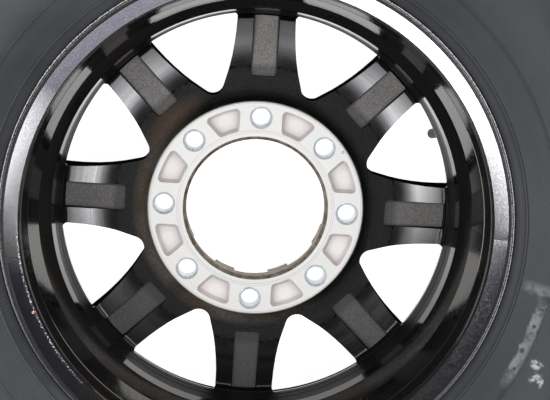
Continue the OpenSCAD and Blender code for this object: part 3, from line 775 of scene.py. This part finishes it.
def wheel_finish(centre, up, corners):
    """Finish for a face of the wheel, from its middle, its upward lean and its corners."""
    along, beside, z = by_spoke(centre)
    radius = math.hypot(along, beside)
    if math.hypot(along - LUG_CIRCLE_R, beside) < LUG_REACH and z > BACK_Z:
        return hole_metal
    if radius < PAD_R + 0.2 and z > PAD_FLOOR_Z:
        return pad_finish(radius, z, up)
    if radius < BORE_FOOT_R and z < PAD_TOP_Z - 0.05:
        return bore_metal
    if radius > BARREL_R - 1 and z > BACK_Z:
        return rim_finish(radius, z, up)
    if in_spoke_pocket(corners):
        # a pocket's walls get the near-black matt finish: painted shade, darker than the
        # pocket's own grey paint
        return groove_cast if up > FLAT else matt_black_and_pocket_shade
    if z > STRIP_Z and radius > TURNED_R - 1 and up > STRIP_FLAT:
        return strip_paint
    if radius > WELL_FOOT_R and z > BACK_Z - 1:
        return well_paint
    if z < BACK_Z and (radius > BARREL_R - 1 or abs(up) < WALL_LEAN and radius > WALL_R):
        return matt_black_and_pocket_shade
    return cast_black


lug_place = Vector((LUG_CIRCLE_R, 0, 0)) * MM
print("lug hole gets", wheel_finish(lug_place, 0.0, []).mat.name)

# %% [markdown]
# ## Give each face its finish
# A mesh holds a list of materials, and each face holds the number of one of them. So the
# list is filled once, and then every face of the wheel is asked for its finish. The counts
# show at a glance whether a rule has caught far too many faces, or none.

# %% Sort the wheel's faces
WHEEL_FINISHES = [cast_black, pad_metal, bore_metal, hole_metal, pocket_cast, groove_cast,
                  barrel_paint, strip_paint, lip_metal, flange_paint, matt_black_and_pocket_shade, well_paint]
wheel.data.materials.clear()
for finish in WHEEL_FINISHES:
    wheel.data.materials.append(finish.mat)
counts = {}
for face in wheel.data.polygons:
    corners = [by_spoke(wheel.data.vertices[v].co) for v in face.vertices]
    finish = wheel_finish(face.center, face.normal.z, corners)
    face.material_index = WHEEL_FINISHES.index(finish)
    counts[finish.mat.name] = counts.get(finish.mat.name, 0) + 1
    face.use_smooth = True
print("wheel faces", counts)

# %% [markdown]
# ## Round shading and crisp edges
# The frame's meshes are made of flat triangles. Shaded flat, a round wall shows facets, and
# shaded smooth, a sharp edge looks blown up. So neighbouring faces are joined, edges sharper
# than a limit are split apart again, and large faces are made to count for more. These are
# modifiers, which leave the frame's own corners where they are. Turned surfaces already
# meet in crisp circles, so on the wheel only the cast faces are joined and smoothed.


# %% Smooth the cast faces
def smooth_over(node, split_angle, only=None):
    """Joins the frame's faces, keeps edges sharper than an angle, and weights the normals."""
    weld = node.modifiers.new("join", "WELD")
    weld.merge_threshold = 0.01 * MM
    if only:
        weld.vertex_group = only
    split = node.modifiers.new("sharp", "EDGE_SPLIT")
    split.split_angle = math.radians(split_angle)
    weighted = node.modifiers.new("even", "WEIGHTED_NORMAL")
    weighted.keep_sharp = True


TURNED = [barrel_paint, pad_metal, lip_metal, flange_paint, hole_metal]
soft = wheel.vertex_groups.new(name="cast")
for face in wheel.data.polygons:
    finish = WHEEL_FINISHES[face.material_index]
    radius = math.hypot(face.center.x, face.center.y) / MM
    well_wall = finish is barrel_paint and radius < BARREL_R + 0.4
    if finish not in TURNED or well_wall:
        soft.add(list(face.vertices), 1.0, "REPLACE")
smooth_over(wheel, 32, "cast")
print("wheel modifiers", [modifier.type for modifier in wheel.modifiers])

# %% [markdown]
# ## Finishes for the other pieces
# Every other piece is made of one material, so it gets one finish and no sorting. The small
# turned and moulded pieces are smoothed whole, with a limit that keeps their edges crisp.

# %% Tyre and valve pieces
PIECE_FINISHES = [("valve_rubber", plug_rubber), ("valve_stem", brass), ("core_body", brass),
                  ("core_gasket", seal_rubber), ("core_pin", brass),
                  ("core_washer", seal_rubber), ("core_spring", spring_steel),
                  ("valve_cap", cap_plastic), ("cap_seal", seal_rubber)]
tyre.data.materials.clear()
tyre.data.materials.append(tyre_rubber.mat)
for name, finish in PIECE_FINISHES:
    piece = frame["nodes"][name]
    piece.data.materials.clear()
    piece.data.materials.append(finish.mat)
    for face in piece.data.polygons:
        face.use_smooth = True
    smooth_over(piece, 35)
print("finished", len(PIECE_FINISHES), "small pieces and the tyre")

# %% [markdown]
# ## Section of the tyre
# A tyre is one section swept around its axis, and only the slots in its shoulders break
# that. The construction model gives the shape; this finer one has the thin ring that
# crosses the sidewall, and takes the model's place. First comes the outside of the back
# half: the bead that sits in the rim, the ridge that guards the rim, the sidewall's bulge
# and the shoulder. Round stretches are arcs, so that the section has no corners there.

# %% Back half of the section, in millimetres
BEAD_TOE = (201.35, 58.2)
HEEL_MIDDLE = (209.42, 69.58)
HEEL_R = 6.5
SEAT_MIDDLE = (217.1, 79.4)
SEAT_R = 3.32
RIM_RIDGE = [(220.42, 82), (220.9, 84.2), (221.7, 85.8), (223.3, 87.9), (225.3, 89.6),
             (228.3, 91.4), (229.0, 92.7), (229.6, 93.3), (230.5, 93.5), (231.1, 93.2),
             (231.5, 92.8)]
BULGE_R = 297.05
BULGE_Z = 116.0
LOWER_BULGE = (59.75, 20.0)
UPPER_BULGE = (71.25, 18.0)
RING_Z = 106.2
RING = [(254.2, RING_Z), (254.7, RING_Z + 0.5), (255.3, RING_Z + 0.55), (255.9, RING_Z + 0.15)]
RING_STEP = 9
SHOULDER = [(376.3, 94), (380.2, 91.9), (383.1, 90), (384.3, 89)]


def arc(middle, radius, start, step, count):
    """Points on a circle in the section, from one angle on in even steps, in degrees."""
    turns = [math.radians(start + step * k) for k in range(count)]
    return [(middle[0] + radius * math.cos(turn), middle[1] + radius * math.sin(turn))
            for turn in turns]


def bulge(degrees, size):
    """A point of the sidewall's bulge: 0 degrees at its widest, 60 at either end of it."""
    lean = math.sin(math.radians(degrees)) / math.sin(math.radians(60))
    return BULGE_R + size[0] * lean, BULGE_Z - size[1] * lean * lean


def tyre_half():
    """Outside of the back half, from the bead's toe to the edge of the tread."""
    points = [BEAD_TOE] + arc(HEEL_MIDDLE, HEEL_R, 175, -17, 6)
    points += arc(SEAT_MIDDLE, SEAT_R, -90, 22.5, 5) + RIM_RIDGE
    for k in range(1, 25):
        points += RING if k == RING_STEP else [bulge(-60 + 2.5 * k, LOWER_BULGE)]
    points += [bulge(5 * k, UPPER_BULGE) for k in range(1, 13)]
    return points + SHOULDER


print("back half from", tyre_half()[0], "to", tyre_half()[-1])

# %% [markdown]
# ## Tread and lining
# The tread is a shallow crown with four grooves, two on each half. A groove's walls lean, and
# its floor meets them with a small step, as the mould's ribs leave it. The lining is the
# tyre's inside, which the rim hides, so nine points serve for it. The front half is the
# back half mirrored.

# %% Crown, grooves and the whole section
TREAD_HALF = 89.0
CROWN_R = 391.25
CROWN_DROP = 7.0
GROOVE_PLACES = (0.56, 0.19)
GROOVE_DEPTH = 8.5
GROOVE_HALF = 4.5
GROOVE_STEP = 0.6
GROOVE_FOOT = GROOVE_HALF * 0.62
GROOVE_FLOOR = GROOVE_HALF * 0.5
SLOT_FLOOR = 377.5
SLOT_EDGE = 73.0
LINING = [(206.8, 57.2), (214.3, 63.2), (236.3, 77.0), (262.0, 97.0), (297.0, 107.0),
          (330.0, 99.0), (356.0, 86.0), (366.0, 62.0), (370.5, 31.0)]


def crown(z):
    """Radius of the tread at a height."""
    return CROWN_R - CROWN_DROP * (z / TREAD_HALF) ** 2


def tread_half():
    """Back half of the tread, from its edge to the middle."""
    points = [(crown(SLOT_EDGE + 0.15), SLOT_EDGE + 0.15), (crown(SLOT_EDGE), SLOT_EDGE)]
    for share in GROOVE_PLACES:
        middle = share * TREAD_HALF
        floor_r = crown(middle) - GROOVE_DEPTH
        points += [(crown(middle + GROOVE_HALF), middle + GROOVE_HALF),
                   (floor_r + GROOVE_STEP, middle + GROOVE_FOOT),
                   (floor_r, middle + GROOVE_FLOOR),
                   (floor_r, middle - GROOVE_FLOOR),
                   (floor_r + GROOVE_STEP, middle - GROOVE_FOOT),
                   (crown(middle - GROOVE_HALF), middle - GROOVE_HALF)]
    return points


back_half = tyre_half() + tread_half()
outside = back_half + [(r, -z) for r, z in reversed(back_half)]
section = outside + [(r, -z) for r, z in LINING] + LINING[::-1]
print("tyre section", len(section), "points")

# %% [markdown]
# ## Sweep the tyre
# The section is walked from the back bead over the tread to the front bead and back along
# the lining, once for each column around the wheel. A screw modifier would sweep it too, but
# it can't press the slots between the shoulder's blocks. So the columns are placed here:
# they bunch up at each slot, where the points are pushed in to the slot's floor, and that
# gives the slots steep walls without a fine mesh everywhere. The columns' places are
# angles in degrees.


# %% Columns around the tyre
def mesh_object(name, corners, faces, material):
    """A new object in the scene, from its corners, its faces and one material."""
    mesh = bpy.data.meshes.new(name)
    mesh.from_pydata(corners, [], faces)
    mesh.materials.append(material)
    made = bpy.data.objects.new(name, mesh)
    scene.collection.objects.link(made)
    return made


BLOCKS = 64
SLOT_WIDTH = 6.0
SHOULDER_R = 383.0
SLOT_HALF = math.degrees(SLOT_WIDTH / 2 / SHOULDER_R)
WALL_HALF = 0.06
BLOCK_OFFSETS = [1.5, 2.8125, 4.12]
offsets = [-SLOT_HALF - WALL_HALF, -SLOT_HALF + WALL_HALF, SLOT_HALF - WALL_HALF,
           SLOT_HALF + WALL_HALF] + BLOCK_OFFSETS
columns = [(block * 360 / BLOCKS + offset, 1 <= k <= 2)
           for block in range(BLOCKS) for k, offset in enumerate(offsets)]
print("tyre columns", len(columns), "with", sum(in_slot for _, in_slot in columns), "in slots")

# %% Skin of the tyre
corners = []
for angle, in_slot in columns:
    turn = math.radians(angle)
    for radius, z in section:
        if in_slot and abs(z) > SLOT_EDGE + 0.1 and radius > SLOT_FLOOR:
            radius = SLOT_FLOOR
        corners.append((radius * MM * math.cos(turn), radius * MM * math.sin(turn), z * MM))
rows = len(section)
faces = []
for c in range(len(columns)):
    after = (c + 1) % len(columns)
    for k in range(rows):
        up = (k + 1) % rows
        faces.append((c * rows + k, c * rows + up, after * rows + up, after * rows + k))
skin = mesh_object("tyre_skin", corners, faces, tyre_rubber.mat)
for face in skin.data.polygons:
    face.use_smooth = True
smooth_over(skin, 38)
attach(skin, "wheel")
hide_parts("tyre")
print("tyre skin", len(corners), "corners,", len(faces), "faces")

# %% [markdown]
# ## Spring of the valve core
# A spring shortens when the pin is pressed, and a rigid body can't. The coil is wound again
# here, as a round wire along a helix; it keeps one length and does not flatten as the pin
# goes in. It stands where the construction model's coil stands, on the valve's own axis,
# which the record of the pin's joint gives.

# %% Wind the spring, in millimetres
COIL_R = 1.2
WIRE_R = 0.14
COIL_TURNS = 5
STEPS = 24
SIDES = 8
COIL_LOW = -1.81
COIL_HIGH = 1.81
press = next(j for j in frame["record"]["behaviour"]["joints"] if j["name"] == "pin_press")
outward = -Vector(press["axis"]).normalized()
coil_low, coil_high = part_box("core_spring")
coil_middle = (Vector(coil_low) + Vector(coil_high)) / 2
aside = outward.orthogonal().normalized()
across = outward.cross(aside)
rings = COIL_TURNS * STEPS
corners = []
for i in range(rings + 1):
    turn = 2 * math.pi * i / STEPS
    out = math.cos(turn) * aside + math.sin(turn) * across
    height = COIL_LOW + (COIL_HIGH - COIL_LOW) * i / rings
    for k in range(SIDES):
        round_wire = 2 * math.pi * k / SIDES
        point = (out * (COIL_R + WIRE_R * math.cos(round_wire))
                 + outward * (height + WIRE_R * math.sin(round_wire)))
        corners.append(coil_middle + point * MM)
print("coil of", COIL_TURNS, "turns,", len(corners), "corners")

# %% Skin of the spring
faces = []
for i in range(rings):
    for k in range(SIDES):
        beside = (k + 1) % SIDES
        faces.append((i * SIDES + k, i * SIDES + beside,
                      (i + 1) * SIDES + beside, (i + 1) * SIDES + k))
faces.append(tuple(range(SIDES))[::-1])
faces.append(tuple(rings * SIDES + k for k in range(SIDES)))
coil = mesh_object("spring_coil", corners, faces, spring_steel.mat)
for face in coil.data.polygons:
    face.use_smooth = len(face.vertices) == 4
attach(coil, "wheel")
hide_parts("core_spring")
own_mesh(coil)

# %% [markdown]
# ## Floor
# The wheel lies on white paper, and the photograph shows that paper as pure white. Brighter
# lamps would do that and bleach the pad as well. So the paper glows where the camera or a
# mirror sees it, which the Light Path node tells, and is plain matt paper to every other
# ray: the light on the wheel stays as it is, and the paper still takes the wheel's shadow.

# %% White paper
FLOOR_HALF = 6.0
FLOOR_GAP = 0.0002
PAPER_GLOW = 0.96
paper = Finish("floor_paper", (0.9, 0.9, 0.9), 0.9)
glow = paper.node("Emission")
path = paper.node("LightPath")
seen = paper.math("ADD", path.outputs["Is Camera Ray"], path.outputs["Is Glossy Ray"])
seen = paper.math("ADD", seen, path.outputs["Is Transmission Ray"])
seen = paper.math("MINIMUM", seen, 1.0)
paper.link(paper.times(seen, PAPER_GLOW), glow.inputs["Strength"])
both = paper.node("AddShader")
paper.link(paper.shader.outputs[0], both.inputs[0])
paper.link(glow.outputs[0], both.inputs[1])
paper.link(both.outputs[0], paper.tree.nodes["Material Output"].inputs["Surface"])
floor = mesh_object("floor", [(-FLOOR_HALF, -FLOOR_HALF, 0), (FLOOR_HALF, -FLOOR_HALF, 0),
                              (FLOOR_HALF, FLOOR_HALF, 0), (-FLOOR_HALF, FLOOR_HALF, 0)],
                    [(0, 1, 2, 3)], paper.mat)
floor.location.z = FLOOR_Z - FLOOR_GAP
print("floor at", round(floor.location.z, 4), "m")

# %% [markdown]
# ## Lights
# A flat mirror shows only what lies in one direction, so each lamp's place is set by what it
# has to show in. The long softbox above is mirrored in the lip's bright arc on the upper
# right, and in the strips of the upper and right spokes. The small one beside it is mirrored
# in the strips of the left spoke. Two large soft ones stand off to either side, where they
# light the sidewall and draw the streaks in the barrel. A dim white world fills the rest, so
# that nothing turns fully black.


# %% Four softboxes and the world
def soft_light(name, place, aim, width, depth, power):
    """A rectangular lamp in metres and watts, turned towards a point."""
    data = bpy.data.lights.new(name, "AREA")
    data.shape = "RECTANGLE"
    data.size = width
    data.size_y = depth
    data.energy = power
    lamp = bpy.data.objects.new(name, data)
    lamp.location = place
    lamp.rotation_euler = (Vector(aim) - Vector(place)).to_track_quat("-Z", "Y").to_euler()
    scene.collection.objects.link(lamp)


WHEEL_MIDDLE = (0, 0, 0)
soft_light("key_softbox", (0.095, -0.109, 1.62), (0.095, -0.109, 0), 0.71, 0.308, 8.5)
soft_light("side_softbox", (-0.28, -0.275, 1.62), (-0.28, -0.275, 0), 0.16, 0.16, 0.8)
soft_light("left_softbox", (-1.25, -0.5, 1.3), WHEEL_MIDDLE, 1.0, 1.0, 17)
soft_light("right_softbox", (1.1, 0.8, 1.4), WHEEL_MIDDLE, 1.0, 1.0, 9)
world = bpy.data.worlds.new("studio")
world.use_nodes = True
sky = world.node_tree.nodes["Background"]
sky.inputs["Color"].default_value = (1, 1, 1, 1)
sky.inputs["Strength"].default_value = 0.3
scene.world = world

# %% [markdown]
# ## Camera
# The camera looks down on the wheel from about a metre and a half, and almost along its
# axis. Its place, its turn and its lens were worked out from the eight lug holes, whose
# true circle is known. They are kept as the camera's place and two directions: the one that
# runs right in the picture, and the one that runs up.

# %% Camera
CAMERA_PLACE = (-0.04041, 0.26265, 1.54432)
CAMERA_RIGHT = Vector((0.99756, 0.06454, 0.02653))
CAMERA_UP = Vector((-0.05934, 0.98467, -0.16402))
camera_data = bpy.data.cameras.new("camera")
camera_data.lens = 113.9
camera_data.sensor_width = 36
camera = bpy.data.objects.new("camera", camera_data)
towards_camera = CAMERA_RIGHT.cross(CAMERA_UP).normalized()
picture_up = towards_camera.cross(CAMERA_RIGHT).normalized()
camera_turn = Matrix((CAMERA_RIGHT, picture_up, towards_camera)).transposed()
camera.matrix_world = Matrix.Translation(CAMERA_PLACE) @ camera_turn.to_4x4()
scene.collection.objects.link(camera)
scene.camera = camera
scene.view_settings.view_transform = "Standard"
print("camera", round(Vector(CAMERA_PLACE).length, 3), "m from the pad")

# %% [markdown]
# ## The end
# The dressed part has to stay inside the construction model's box.
